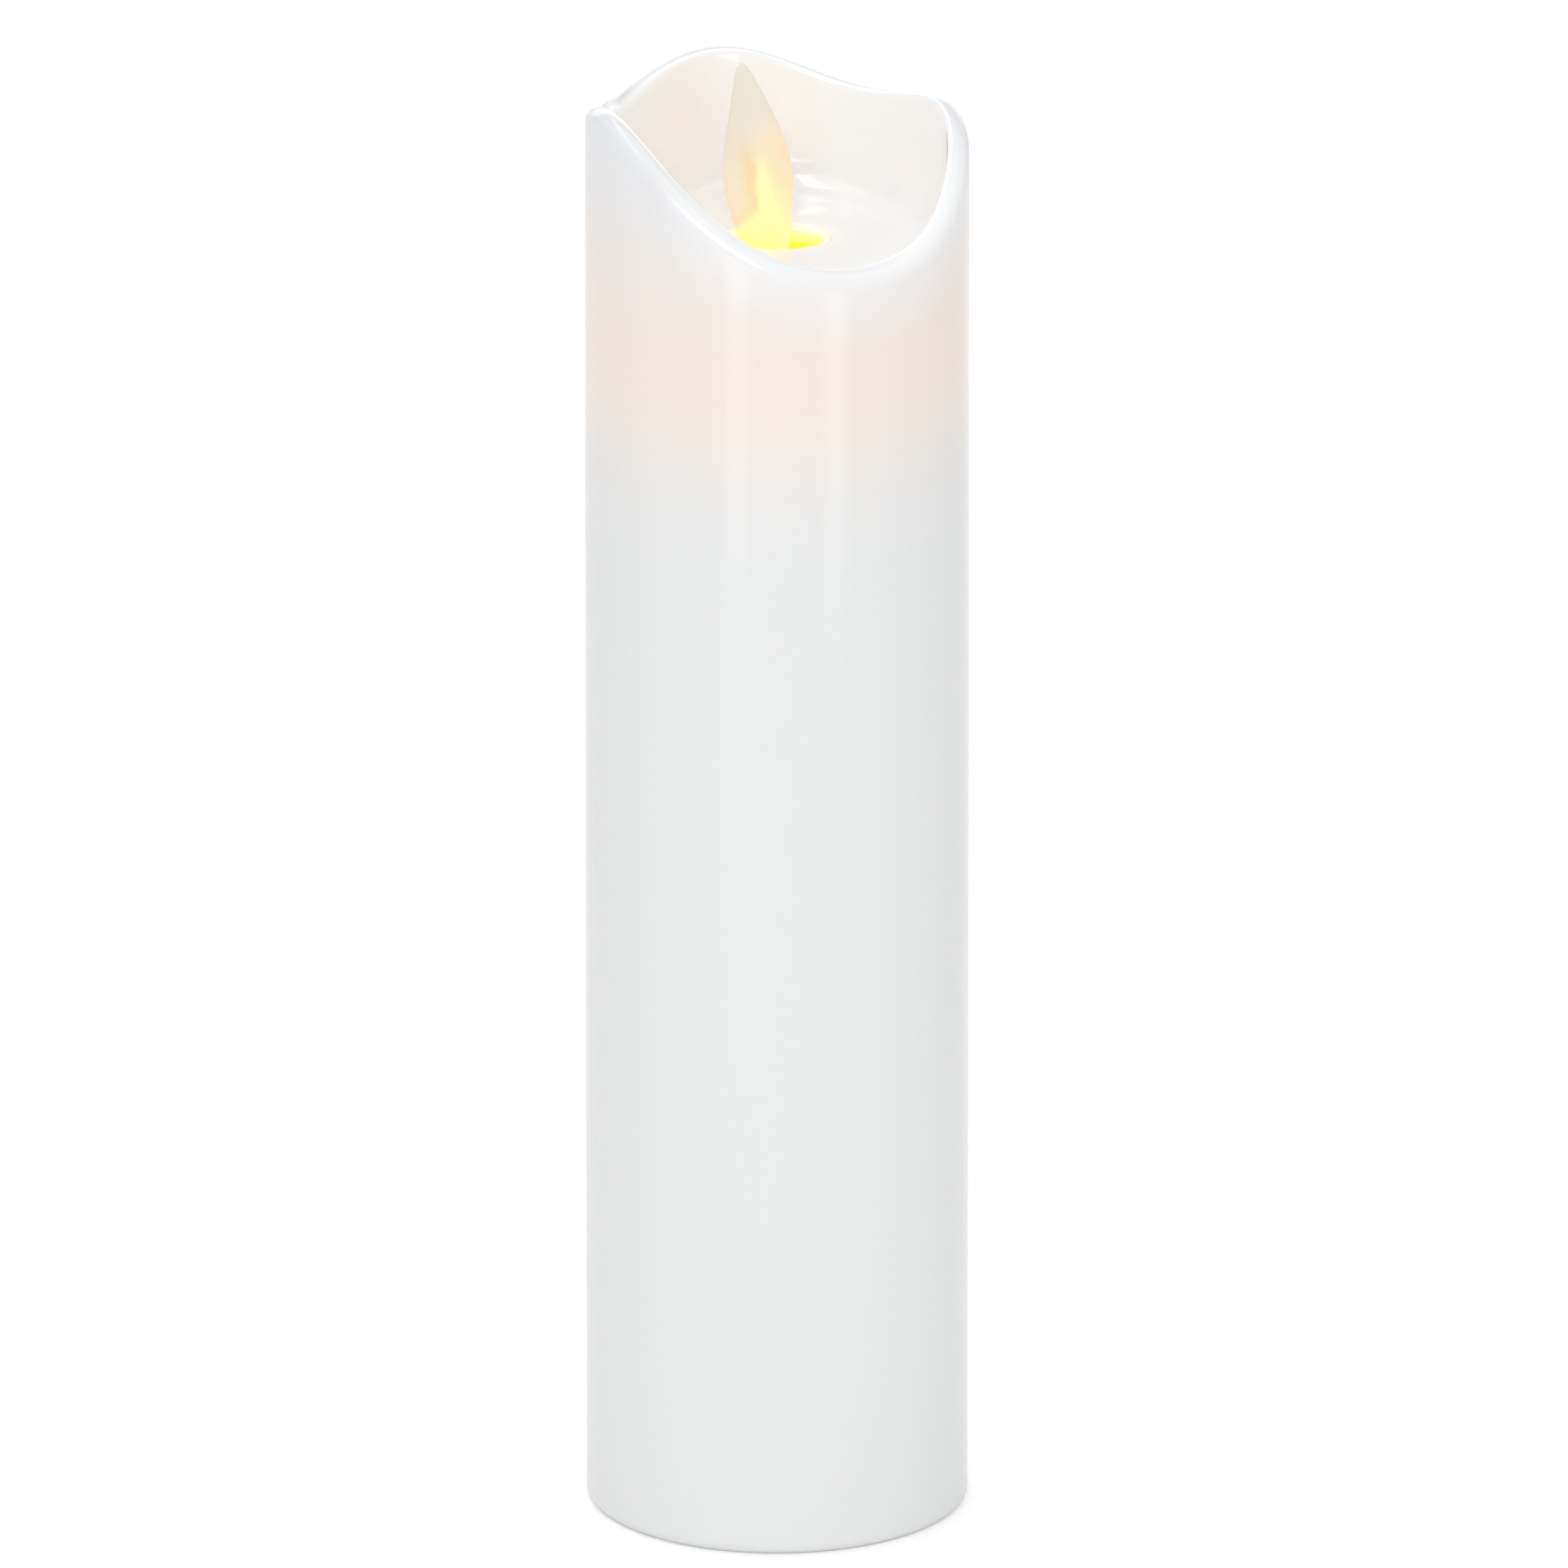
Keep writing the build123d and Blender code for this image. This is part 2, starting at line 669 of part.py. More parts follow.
# ---------------------------------------------------------------- battery door
def battery_door():
    """The door over the cells: a plate that swings on two pins, with a springy tongue."""
    door = block(hinge_x, door_end, -door_half_depth, door_half_depth, base_bottom, door_top)
    door = fillet(door.edges().filter_by(Axis.Z).group_by(Axis.X)[-1], 1.8)
    edge = (hinge_x, -door_half_depth, hinge_z), (hinge_x, door_half_depth, hinge_z)
    door += rod(*edge, hinge_edge_radius)
    reach = door_half_depth + hinge_pin_length
    door += rod((hinge_x, -reach, hinge_z), (hinge_x, reach, hinge_z), hinge_pin_radius)
    for side in (-1, 1):
        low, high = sorted((side * 3.8, side * 4.6))
        door -= block(8.0, door_end + 1, low, high, base_bottom - 1, door_top + 1)
    door += block(door_end - 0.5, door_end + 0.18, -2.5, 2.5, hinge_z, door_top - 0.3)
    for step in range(4):
        x = 10.4 + 1.5 * step
        door -= rod((x, -3.0, base_bottom - 0.1), (x, 3.0, base_bottom - 0.1), 0.45)
    return door


def door_contact():
    """The strip on the door that joins the two cells, with a raised dimple for the nub."""
    strip = block(-12.5, 12.5, -3.5, 3.5, door_top, door_contact_top)
    return strip + upright(cell_spacing / 2, 0, door_top, door_contact_top + 0.35, 2.2)


def door_spring():
    """The door strip's spring, under the left-hand cell's flat end."""
    room = left_cell_bottom - door_contact_top - contact_gap - 0.03
    return Pos(-cell_spacing / 2, 0, door_contact_top + 0.03) * cone_spring(room)


# ---------------------------------------------------------------- slide switch
def switch_can():
    """The switch's folded metal can, with the track that its slider runs in."""
    can = block(
        -switch_half_width,
        switch_half_width,
        switch_y - switch_half_depth,
        switch_y + switch_half_depth,
        base_top,
        base_top + switch_height,
    )
    track_half = switch_travel / 2 + knob_half_width + 0.15
    track_low = switch_y - knob_half_depth - 0.1
    track_high = switch_y + knob_half_depth + 0.1
    return can - block(-track_half, track_half, track_low, track_high, base_top - 1, base_top + 2.5)


def terminal_xs():
    """Places of the switch's four terminals along its length."""
    return [terminal_spacing * (i - 1.5) for i in range(4)]


def switch_terminals():
    """The switch's solder pins."""
    low = base_top + switch_height
    rows = switch_y - 0.2, switch_y + 0.2, low, low + terminal_height
    return [block(x - 0.35, x + 0.35, *rows) for x in terminal_xs()]


def switch_knob():
    """The slider, at its ON end, with a ribbed thumb face."""
    centre = -switch_travel / 2
    knob = block(
        centre - knob_half_width,
        centre + knob_half_width,
        switch_y - knob_half_depth,
        switch_y + knob_half_depth,
        knob_bottom,
        base_top + 2.3,
    )
    for offset in (-0.8, 0.0, 0.8):
        x = centre + offset
        knob -= rod((x, switch_y - 2, knob_bottom), (x, switch_y + 2, knob_bottom), 0.25)
    return knob


# ---------------------------------------------------------------- wiring
tab_tip = tab_top + 0.05
tab_middle = tab_y + contact_thickness / 2
pin_tip = base_top + switch_height + terminal_height + 0.05
solder_face = board_bottom - 0.05


def wire_positive():
    """Red wire: from the left-hand contact tab up to the board."""
    route = [(-cell_spacing / 2, tab_middle, tab_tip)]
    route += [(-8.2, 5.4, 73), (-12.5, 4.5, 85), (-13.5, -1, 98), (-10, -7.6, 111)]
    route += [(-6, -10, 122), (-6, -10, solder_face)]
    return bent_wire(route, lead_wire_radius)


def wire_negative():
    """Black wire: from the right-hand contact tab down beside the bay to the switch."""
    route = [(cell_spacing / 2, tab_middle, tab_tip)]
    route += [(8, 5.2, 69.5), (9, 10, 73.5), (8.6, 13.8, 67), (7, 13.9, 54), (5.4, 13.2, 38)]
    route += [(4.4, 13.9, 24), (terminal_xs()[3], switch_y, pin_tip)]
    return bent_wire(route, lead_wire_radius)


def wire_switched():
    """Blue wire: from the switch's common pin up to the board."""
    route = [(terminal_xs()[1], switch_y, pin_tip)]
    route += [(-2, 15, 26), (-3.4, 15.6, 42), (-1.5, 15.2, 58), (1, 12.5, 74), (6, 6.5, 89)]
    route += [(9, -1, 102), (8, -7.2, 113), (5, -9, 122.5), (5, -9, solder_face)]
    return bent_wire(route, lead_wire_radius)


# ---------------------------------------------------------------- flame paddle
def flame_paddle():
    """The bowed flame leaf, its stem, eyelet and magnet cup, leaning as it rests."""
    cup_top = magnet_bottom + magnet_height + magnet_cup
    stem_foot = cup_top - 0.4
    outline = Line((-stem_half_width, stem_foot), (stem_half_width, stem_foot))
    for side, points in ((1, leaf_right), (-1, leaf_left)):
        outline += Line((side * stem_half_width, stem_foot), points[0])
        outline += Spline(*points, (0, leaf_tip), tangents=((0, 1), (-side, 0.45)))
    outline = make_face(outline.edges())
    sheet = extrude(Plane.XZ * outline, 6, both=True)
    low, high = cup_top - 1, leaf_tip + 1
    bow = Pos(0, sheet_bow_radius, 0) * (
        upright(0, 0, low, high, sheet_bow_radius + sheet_thickness / 2)
        - upright(0, 0, low - 1, high + 1, sheet_bow_radius - sheet_thickness / 2)
    )
    front = block(-10, 10, -2, sheet_bow_radius, low, high)
    paddle = sheet & bow & front
    paddle += rod((0, -eyelet_half, 0), (0, eyelet_half, 0), eyelet_radius)
    paddle += upright(0, 0, magnet_bottom + magnet_height, cup_top, magnet_radius + 0.3)
    paddle -= rod((0, -3, 0), (0, 3, 0), eyelet_bore)
    return in_body_tilt(paddle)


def paddle_magnet():
    """The disc magnet that the coil pushes and pulls."""
    return in_body_tilt(upright(0, 0, magnet_bottom, magnet_bottom + magnet_height, magnet_radius))


# ---------------------------------------------------------------- nodes
nodes = {
    "wax_shell": wax_shell(),
    "throat_collar": throat_collar(),
    "core_tube": core_tube(),
    "top_screws": top_screws(),
    "mechanism_case_left": case_half(-1),
    "mechanism_case_right": case_half(1),
    "case_screws": case_screws(),
    "pivot_wire": pivot_wire(),
    "coil_bobbin": coil_bobbin(),
    "coil_winding": coil_winding(),
    "coil_leads": coil_leads(),
    "led_lamp": lamp(),
    "led_holder": lamp_holder(),
    "led_leads": lamp_leads(),
    "led_wires": lamp_wires(),
    "circuit_board": circuit_board(),
    "control_chip": control_chip(),
    "board_resistors": board_resistors(),
    "board_transistors": board_transistors(),
    "board_capacitor": board_capacitor(),
    "timer_crystal": timer_crystal(),
    "board_screws": board_screws(),
    "base_housing": base_housing(),
    "base_screws": base_screws(),
    "cell_can_left": cell_can("left"),
    "cell_can_right": cell_can("right"),
    "cell_wrap_left": cell_wrap("left"),
    "cell_wrap_right": cell_wrap("right"),
    "positive_contact": top_contact(-cell_spacing / 2),
    "negative_contact": top_contact(cell_spacing / 2),
    "negative_spring": negative_spring(),
    "battery_door": battery_door(),
    "door_contact": door_contact(),
    "door_spring": door_spring(),
    "switch_can": switch_can(),
    "switch_terminals": switch_terminals(),
    "switch_knob": switch_knob(),
    "wire_positive": wire_positive(),
    "wire_negative": wire_negative(),
    "wire_switched": wire_switched(),
    "flame_paddle": flame_paddle(),
    "paddle_magnet": paddle_magnet(),
}

os.makedirs("parts", exist_ok=True)
for name, shape in nodes.items():
    solids = shape if isinstance(shape, list) else [shape]
    bodies = [solid for piece in solids for solid in piece.solids()]
    export_step(bodies[0] if len(bodies) == 1 else Compound(children=bodies), f"parts/{name}.step")
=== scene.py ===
import math

import bpy
import numpy as np
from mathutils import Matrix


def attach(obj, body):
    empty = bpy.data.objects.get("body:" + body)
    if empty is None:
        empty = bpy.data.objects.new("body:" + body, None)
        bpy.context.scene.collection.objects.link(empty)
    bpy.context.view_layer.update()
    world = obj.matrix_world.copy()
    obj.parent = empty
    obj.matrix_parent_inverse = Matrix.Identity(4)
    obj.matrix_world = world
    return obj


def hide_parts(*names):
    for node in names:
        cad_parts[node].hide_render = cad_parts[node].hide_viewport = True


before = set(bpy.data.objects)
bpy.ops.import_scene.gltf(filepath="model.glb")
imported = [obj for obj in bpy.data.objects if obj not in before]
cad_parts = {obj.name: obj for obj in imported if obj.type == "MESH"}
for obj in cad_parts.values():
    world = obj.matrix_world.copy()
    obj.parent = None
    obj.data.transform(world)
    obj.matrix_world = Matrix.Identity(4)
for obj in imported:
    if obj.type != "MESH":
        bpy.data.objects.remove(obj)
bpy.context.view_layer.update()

# ------------------------------------------------------------------ wax pillar
# The candle's body is one hollow casting of white paraffin. Its rim is hand-melted into a wave and
# its top is a dish with a wide round corner, pierced by the oval hole that the flame stands in.
# The wall is thin enough for the lamp inside to warm its upper third.


class Socket:
    """One output of a material's nodes. Arithmetic on it adds Math nodes, and make() adds any other."""

    def __init__(self, tree, socket):
        self.tree = tree
        self.socket = socket

    def make(self, kind, sockets=(), output=0, stops=(), **settings):
        """Adds a node: first its settings and ramp stops, then each socket's value or link."""
        node = self.tree.nodes.new(kind)
        for name, value in settings.items():
            setattr(node, name, value)
        for i, (place, colour) in enumerate(stops):
            ramp = node.color_ramp.elements
            stop = ramp[i] if i < len(ramp) else ramp.new(place)
            stop.position = place
            stop.color = (*colour, 1)
        for name, value in dict(sockets).items():
            if isinstance(value, Socket):
                self.tree.links.new(value.socket, node.inputs[name])
            else:
                node.inputs[name].default_value = value
        return Socket(self.tree, node.outputs[output])

    def maths(self, operation, *values, clamp=False):
        """A Math node on this socket's tree."""
        return self.make("ShaderNodeMath", enumerate(values), operation=operation, use_clamp=clamp)

    def __add__(self, other):
        return self.maths("ADD", self, other)

    def __sub__(self, other):
        return self.maths("SUBTRACT", self, other)

    def __rsub__(self, other):
        return self.maths("SUBTRACT", other, self)

    def __mul__(self, other):
        return self.maths("MULTIPLY", self, other)

    def __truediv__(self, other):
        return self.maths("DIVIDE", self, other)

    def __pow__(self, other):
        return self.maths("POWER", self, other)

    __radd__ = __add__
    __rmul__ = __mul__

    def step(self, low, high):
        """0 below low, 1 above high, and a smooth rise between them (a fall if low is above high)."""
        ends = {"Value": self, "From Min": low, "From Max": high, "To Min": 0.0, "To Max": 1.0}
        return self.make("ShaderNodeMapRange", ends, interpolation_type="SMOOTHSTEP")

    def bell(self, middle, width):
        """1 at middle, falling off on both sides as a bell curve of the given width."""
        return self.maths("EXPONENT", ((self - middle) / width) ** 2 * -1)

    def between(self, low, high):
        """The colour that is low where this is 0 and high where it is 1: red, green, blue or a socket."""
        low, high = ((*side, 1) if isinstance(side, tuple) else side for side in (low, high))
        return self.make("ShaderNodeMix", {"Factor": self, 6: low, 7: high}, 2, data_type="RGBA")

    def parts(self):
        """The X, Y and Z of a vector."""
        node = self.make("ShaderNodeSeparateXYZ", {"Vector": self}).socket.node
        return [Socket(self.tree, output) for output in node.outputs]

    def noise(self, scale, detail=3.0, roughness=0.5):
        """A noise between 0 and 1, this many lumps to the metre."""
        values = {"Vector": self, "Scale": scale, "Detail": detail, "Roughness": roughness}
        return self.make("ShaderNodeTexNoise", values)

    def bump(self, height, strength=1.0):
        """A surface normal raised by this socket, with its full height in metres."""
        values = {"Height": self, "Distance": height, "Strength": strength}
        return self.make("ShaderNodeBump", values)


def new_finish(name, **constants):
    """A material and its Principled shader, with the sockets that are the same all over set on it."""
    material = bpy.data.materials.new(name)
    material.use_nodes = True
    shader = material.node_tree.nodes["Principled BSDF"]
    for socket, value in constants.items():
        shader.inputs[socket.replace("_", " ")].default_value = value
    here = Socket(material.node_tree, shader.outputs[0]).make("ShaderNodeTexCoord", output=3)
    return material, shader, here


def span(*sides):
    """The length of a vector, from its sides."""
    return sum(side**2 for side in sides) ** 0.5


def feed(shader, **sockets):
    """Links sockets that vary over the surface into a shader."""
    for name, source in sockets.items():
        source.tree.links.new(source.socket, shader.inputs[name.replace("_", " ")])


def signed_volume(points, quads):
    """The volume inside a mesh of quads: the sum of the tetrahedra from the origin to each half."""
    a, b, c, d = (points[quads[:, i]] for i in range(4))
    halves = np.cross(a, b) * c + np.cross(a, c) * d
    return halves.sum() / 6


def loft(name, rings, joined=False, smooth=True):
    """A closed skin over rings of points, given in millimetres as (ring, place round it, x y z).

    Each ring closes on itself. The rings either close on each other or end in two flat caps. The
    side that the quads face is settled by the sign of the volume that they hold.
    """
    count, around = rings.shape[:2]
    points = rings.reshape(-1, 3) / 1000
    ring = np.arange(count if joined else count - 1)[:, None]
    place = np.arange(around)[None, :]
    after, beside = (ring + 1) % count, (place + 1) % around
    ring, after = ring * around, after * around
    corners = [ring + place, after + place, after + beside, ring + beside]
    quads = np.stack([np.broadcast_to(c, (len(ring), around)) for c in corners], axis=-1).reshape(-1, 4)
    caps = [] if joined else [np.arange(around), np.arange(around)[::-1] + (count - 1) * around]
    if signed_volume(points - points.mean(axis=0), quads) < 0:
        quads = quads[:, ::-1]
        caps = [cap[::-1] for cap in caps]
    mesh = bpy.data.meshes.new(name)
    mesh.from_pydata(points, [], quads.tolist() + [cap.tolist() for cap in caps])
    mesh.polygons.foreach_set("use_smooth", np.full(len(mesh.polygons), smooth))
    mesh.update()
    piece = bpy.data.objects.new(name, mesh)
    bpy.context.scene.collection.objects.link(piece)
    return piece


def rounded(start, corner, end, count):
    """The rounding of a corner: the cubic from start to end whose handles reach 0.55 of the way to it."""
    t = np.linspace(0, 1, count)[:, None, None]
    near, far = start + 0.55 * (corner - start), end + 0.55 * (corner - end)
    return (1 - t) ** 3 * start + 3 * (1 - t) ** 2 * t * near + 3 * (1 - t) * t**2 * far + t**3 * end


def straight(start, end, count):
    """Points from start to end, both left out, evenly spaced."""
    t = np.linspace(0, 1, count + 2)[1:-1, None, None]
    return start + (end - start) * t


pillar_radius = 26.5
turn = np.linspace(0, 2 * np.pi, 420, endpoint=False)  # from the front (-Y) towards +X
behind = (1 - np.cos(turn)) / 2  # 0 at the front, 1 at the back
melted = np.clip(np.cos(turn + np.radians(80)), 0, 1) ** 3  # where the rim is thicker and rounder
dish_radius, dish_floor = 23.5 - 1.2 * melted, 183.7
corner_width, corner_height = 5 + 4 * behind, 5 + 6 * behind  # the hollow's corner is wider at the back
corner_power = 0.82  # 1 is a true oval
dish_flat = dish_radius - corner_width
crown_radius, wave_fade = 25.3, 0.1
rim_mean = 197.2
rim_waves = ((1, 7.19, -143.8), (2, 3.85, -65.2), (3, 2.01, -39.7), (4, 1.31, 19.6))


def rim_height(reach):
    """The melted edge's height at a reach from the axis, all round: a sum of waves round the pillar.

    The waves are nearly the same across the wall and fade out towards the axis.
    """
    spread = (reach / crown_radius) ** 4
    waves = sum(a * np.cos(n * (turn - np.radians(p))) for n, a, p in rim_waves)
    return rim_mean + waves * spread / (spread + wave_fade) * (1 + wave_fade)


def dish_curve(run):
    """Reach and height at a run along the dish from its centre: flat, a rounded corner, upright.

    The corner is a quarter of an oval whose bend comes on and goes off softly.
    """
    lean = np.clip((run - dish_flat) / corner_width, 0, np.pi / 2)
    climb = np.maximum(run - dish_flat - corner_width * np.pi / 2, 0)
    reach = np.minimum(run, dish_flat) + corner_width * np.sin(lean) ** corner_power
    return np.stack([reach, dish_floor + corner_height * (1 - np.cos(lean) ** corner_power) + climb])


def dish_edge():
    """The run along the dish at which it meets the melted edge, found by halving."""
    low = dish_flat
    high = low + 40
    for _ in range(40):
        middle = (low + high) / 2
        reach, height = dish_curve(middle)
        above = height > rim_height(reach)
        low, high = np.where(above, low, middle), np.where(above, middle, high)
    return low


def at(reach, height):
    """A point of the pillar's section, the same or not all round."""
    return np.stack(np.broadcast_arrays(reach, height, turn)[:2]).astype(float)


def wax_section():
    """The section of the wall all round, as (place along it, reach or height, turn).

    It goes up the outside, over the rim's two roundings, down the dish to the throat, down through
    the floor, and back along the underside and the bore to the foot. Two more lists say how far
    each place along it belongs to the dish and to the rim.
    """
    outer_round, inner_round, foot_round = 2.15, 0.7 + 1.3 * melted, 1.5
    throat = 1 / np.sqrt((np.sin(turn) / 7.5) ** 2 + (np.cos(turn) / 5.5) ** 2)
    underside, bore, lip = 180.3, 23.0, 0.35
    top = rim_height(pillar_radius)
    shoulder = at(pillar_radius, top - outer_round)
    crest = at(pillar_radius - outer_round, rim_height(pillar_radius - outer_round))
    edge_run = dish_edge()
    edge = dish_curve(edge_run)
    brink = at(edge[0] + inner_round, rim_height(edge[0] + inner_round))
    runs = edge_run - inner_round + (throat + lip - edge_run + inner_round) * np.linspace(0, 1, 64)[:, None]
    dish = np.stack([dish_curve(run) for run in runs])
    heel = at(pillar_radius, foot_round)
    outside = [
        heel[None],
        straight(heel, shoulder, 90),
        rounded(shoulder, at(pillar_radius, top), crest, 14),
    ]
    hollow = [
        rounded(brink, edge, dish[0], 12),
        dish[1:],
        rounded(dish[-1], at(throat, dish_floor), at(throat, dish_floor - lip), 6)[1:],
    ]
    underneath = [
        straight(at(throat, dish_floor - lip), at(throat, underside), 5),
        at(throat, underside)[None],
        straight(at(throat, underside), at(bore, underside), 8),
        at(bore, underside)[None],
        straight(at(bore, underside), at(bore, 0.4), 18),
        rounded(at(bore, 0.4), at(bore, 0.0), at(bore + 0.4, 0.0), 4),
        straight(at(bore + 0.4, 0.0), at(pillar_radius - foot_round, 0.0), 3),
        rounded(at(pillar_radius - foot_round, 0.0), at(pillar_radius, 0.0), heel, 9)[:-1],
    ]
    section = np.concatenate(outside + hollow + underneath)
    before, within = sum(map(len, outside)), sum(map(len, hollow))
    place = np.arange(len(section)) - before
    dish_share = np.interp(place, [0, 6, within - 1, within], [0, 1, 1, 0])
    rim_share = np.interp(place, [-18, -9, 3, 10], [0, 1, 1, 0])
    return section, dish_share, rim_share


def wax_relief(reach, height):
    """How far the outer skin dips inwards: slow swells of a few hundredths of a millimetre."""
    waves = ((3, 17, 0), (5, -11, 1), (2, 31, 4))  # waves round the pillar, rise, shift
    swell = sum(np.sin(n * turn + height / rise + shift) for n, rise, shift in waves)
    return np.where(reach > pillar_radius - 0.5, 0.006 * (3 + swell), 0)


section, dish_share, rim_share = wax_section()
reach, height = section[:, 0], section[:, 1]
reach = reach - wax_relief(reach, height)
wax_rings = np.stack([reach * np.sin(turn), -reach * np.cos(turn), height], axis=-1)
wax = loft("wax_pillar", wax_rings, joined=True)
for name, share in (("dish", dish_share), ("rim", rim_share)):
    marks = wax.data.attributes.new(name, "FLOAT", "POINT")
    marks.data.foreach_set("value", np.repeat(share, len(turn)))
wax_finish, shader, here = new_finish(
    "cast_wax",
    Roughness=0.13,
    IOR=1.44,
    Subsurface_Weight=0.35,
    Subsurface_Radius=(1.0, 0.75, 0.6),
    Subsurface_Scale=0.004,
    Coat_Roughness=0.012,
    Emission_Strength=1.0,
)
x, y, z = here.parts()
reach = span(x, y)
in_dish = here.make("ShaderNodeAttribute", output=2, attribute_name="dish")
on_rim = here.make("ShaderNodeAttribute", output=2, attribute_name="rim")

# The outer skin is white, painted cooler and lighter towards the rim for the light it catches there, and
# painted pinkish, with a painted glow, in the band that the lamp shines through.
glow = z.bell(0.171, 0.018) * z.step(0.138, 0.165) * (on_rim * -0.85 + 1)
skin = z.step(0.187, 0.197).between((0.845, 0.855, 0.855), (0.85, 0.872, 0.905))
skin = glow.between(skin, (0.85, 0.80, 0.76))
light = glow.between((0.0, 0.0, 0.0), (0.085, 0.040, 0.022))

# Painted shade on the rim: whitest at the front, darker towards the back and at the left, and darkest where
# its left lobe turns towards the back.
crest = y.step(-0.012, 0.012).between((0.93, 0.945, 0.965), (0.77, 0.795, 0.83))
crest = x.step(-0.010, -0.018).between(crest, (0.84, 0.855, 0.87))
lobe_shade = span(x + 0.0228, y - 0.0065).bell(0, 0.0065)
skin = on_rim.between(skin, lobe_shade.between(crest, (0.62, 0.64, 0.67)))

# The dish is painted warmer towards the left by the lamp's light through its wall, with a painted warm spot
# of that light at its back left.
dish_skin = x.step(0.006, -0.018).between((0.905, 0.905, 0.90), (0.92, 0.90, 0.88))
warm_light_spot = span(x + 0.013, y - 0.0195, z - 0.195).bell(0, 0.006) * 0.6
skin = in_dish.between(skin, warm_light_spot.between(dish_skin, (0.86, 0.78, 0.69)))

# Painted glow of the lamp's light on the dish's wall and the throat's lip, and a painted highlight along the
# thin edge between dish and rim, brightest at the right.
in_wall = z.step(0.1855, 0.1965).between((0.085, 0.078, 0.080), (0.085, 0.087, 0.10))
by_throat = reach.step(0.0235, 0.012)
in_wall = by_throat.between(in_wall, (0.0, 0.0, 0.0))
at_lip = reach.step(0.0100, 0.0080) * z.step(0.1838, 0.1834)
light = in_dish.between(light, at_lip.between(in_wall, (0.13, 0.10, 0.05)))
edge_highlight = x.step(0.010, 0.020).between((0.20, 0.20, 0.21), (0.34, 0.34, 0.33))
thin_edge = in_dish.bell(0.5, 0.25) * x.step(-0.024, -0.012) * 0.7
light = thin_edge.between(light, edge_highlight)

# The dish has set against the air and is glossy, less so at the left.
gloss = in_dish * x.step(-0.026, -0.012)
grain = here.noise(900, 4) * 0.5 + here.noise(160, 2)
feed(shader, Base_Color=skin, Emission_Color=light, Coat_Weight=gloss, Normal=grain.bump(0.00002))
wax.data.materials.append(wax_finish)
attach(wax, "candle_body")
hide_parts("wax_shell")

# ------------------------------------------------------------------ throat ring
# A clear plastic ring lines the hole in the dish. The lamp below shines into its wall; that light is painted
# into its colour and its glow, which turn yellow deep down and fade towards the lip.
ring_finish, shader, here = new_finish("clear_ring", Roughness=0.2, IOR=1.49, Emission_Strength=1.0)
x, y, z = here.parts()
deep = z.step(0.1836, 0.1802)
feed(shader, Base_Color=deep.between((0.9, 0.84, 0.66), (0.85, 0.62, 0.03)))
lit_wall = deep.make(
    "ShaderNodeValToRGB",
    {"Fac": deep},
    stops=((0.1, (0.34, 0.27, 0.19)), (0.45, (0.46, 0.35, 0.12)), (0.9, (0.55, 0.44, 0.0))),
)
feed(shader, Emission_Color=lit_wall)


def finish_nodes(material, *names):
    """Gives parts that keep their own shape a better finish."""
    for name in names:
        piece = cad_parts[name]
        piece.data.materials.clear()
        piece.data.materials.append(material)
        first = np.zeros(len(piece.data.polygons), dtype=np.int32)
        piece.data.polygons.foreach_set("material_index", first)


finish_nodes(ring_finish, "throat_collar")


# ------------------------------------------------------------------ moulded plastic
# The core sleeve, the base with its battery bay, the door and the case of the mechanism are
# injection moulded. They have a fine spark-eroded texture and slight flow marks. The lamp lights
# the case's walls next to it.
def moulded(name, colour, roughness=0.45, texture=0.000012):
    """Satin moulded plastic: a fine grain, and a slow drift of tone from the melt's flow."""
    material, shader, here = new_finish(name, IOR=1.46)
    grain = here.noise(5200, 2)
    flow = here.noise(42, 3)
    dark = tuple(c * 0.93 for c in colour)
    feed(shader, Base_Color=flow.step(0.3, 0.7).between(dark, colour))
    feed(shader, Roughness=flow * 0.08 + grain * 0.10 + (roughness - 0.09), Normal=grain.bump(texture))
    return material


finish_nodes(moulded("core_plastic", (0.80, 0.79, 0.76)), "core_tube")
finish_nodes(moulded("base_plastic", (0.82, 0.80, 0.75)), "base_housing", "battery_door")
case_finish = moulded("case_plastic", (0.74, 0.73, 0.69))
shader = case_finish.node_tree.nodes["Principled BSDF"]
shader.inputs["Emission Strength"].default_value = 1.0
here = Socket(case_finish.node_tree, shader.outputs[0]).make("ShaderNodeTexCoord", output=3)
x, y, z = here.parts()
lamp_lit = z.bell(0.168, 0.010) * span(x, y).step(0.012, 0.006)
feed(shader, Emission_Color=lamp_lit.between((0.0, 0.0, 0.0), (0.60, 0.42, 0.05)))
finish_nodes(case_finish, "mechanism_case_left", "mechanism_case_right", "led_holder")
finish_nodes(moulded("black_plastic", (0.028, 0.028, 0.030), 0.38), "switch_knob", "coil_bobbin")


# ------------------------------------------------------------------ steel and plated parts
# Screws are zinc plated, the pivot is bright drawn wire, and the contacts, springs and magnet are
# nickel plated. Drawn and rolled metal carries fine lines, plating a faint mottle.
def metal(name, colour, roughness, lines=(1, 1, 1), scale=2600):
    """Plated metal: fine lines or mottle that change its roughness and lift its surface a little."""
    material, shader, here = new_finish(name, Metallic=1.0)
    stretched = here.make("ShaderNodeMapping", {"Vector": here, "Scale": lines})
    marks = stretched.noise(scale, 3)
    tarnish = here.noise(260, 3)
    dark = tuple(c * 0.82 for c in colour)
    feed(shader, Base_Color=tarnish.step(0.25, 0.75).between(dark, colour))
    feed(shader, Roughness=marks * 0.18 + (roughness - 0.09), Normal=marks.bump(0.000004))
    return material


